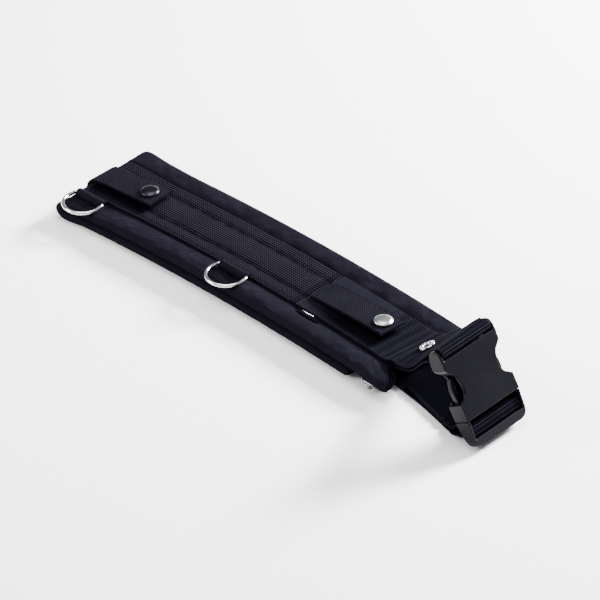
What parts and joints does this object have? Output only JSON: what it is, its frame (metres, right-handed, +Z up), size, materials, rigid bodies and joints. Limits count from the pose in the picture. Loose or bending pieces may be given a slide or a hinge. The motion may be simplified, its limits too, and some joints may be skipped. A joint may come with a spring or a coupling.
{
  "type": "padded utility belt",
  "caption": "Padded utility belt in dark fabric, folded flat and buckled: wide webbing, D-rings, snap flaps, side-release buckle.",
  "frame": {"origin": "middle of the underside of the overall box, on the surface that the belt lies on", "axes": "+X along the folded belt from its fold to the buckle, +Y across it away from the edge with the rings, +Z up"},
  "size_m": [0.4382, 0.1078, 0.0723],
  "materials": {
    "pad_fabric": "dark slate twill nylon with a soft sheen over foam",
    "grip_webbing": "wide coarse loop-faced webbing, matte",
    "webbing": "woven nylon webbing with fine cross ribs",
    "flap_webbing": "narrow woven webbing, doubled and stitched",
    "buckle_plastic": "moulded acetal, fine matte",
    "bright_steel": "bright nickel-plated steel wire and sheet",
    "snap_metal": "dark nickel, polished dome"
  },
  "bodies": {
    "root": {"padded_belt": "pad_fabric", "grip_webbing": "grip_webbing", "buckle_webbing": "webbing", "return_strap": "webbing", "flap_1": "flap_webbing", "flap_2": "flap_webbing", "snap_cap_1": "snap_metal", "snap_cap_2": "snap_metal", "snap_post_1": "snap_metal", "snap_post_2": "snap_metal", "ring_tab_1": "webbing", "ring_tab_2": "webbing", "ring_tab_3": "webbing", "seam_bar": "bright_steel", "grommet": "bright_steel", "buckle_socket": "buckle_plastic", "buckle_plug": "buckle_plastic"},
    "ring_1": {"d_ring_1": "bright_steel"},
    "ring_2": {"d_ring_2": "bright_steel"},
    "ring_3": {"d_ring_3": "bright_steel"}
  },
  "joints": [
    {"name": "d_ring_1_swing", "type": "hinge", "parent": "root", "child": "ring_1", "pos_m": [-0.19684, -0.02966, 0.01872], "axis": [-1, 0, 0], "range_deg": [0, 150]},
    {"name": "d_ring_2_swing", "type": "hinge", "parent": "root", "child": "ring_2", "pos_m": [-0.04734, -0.0228, 0.02033], "axis": [-1, 0, 0], "range_deg": [0, 165]},
    {"name": "d_ring_3_swing", "type": "hinge", "parent": "root", "child": "ring_3", "pos_m": [0.11096, -0.02706, 0.00543], "axis": [1, 0, 0], "range_deg": [0, 30]}
  ]
}
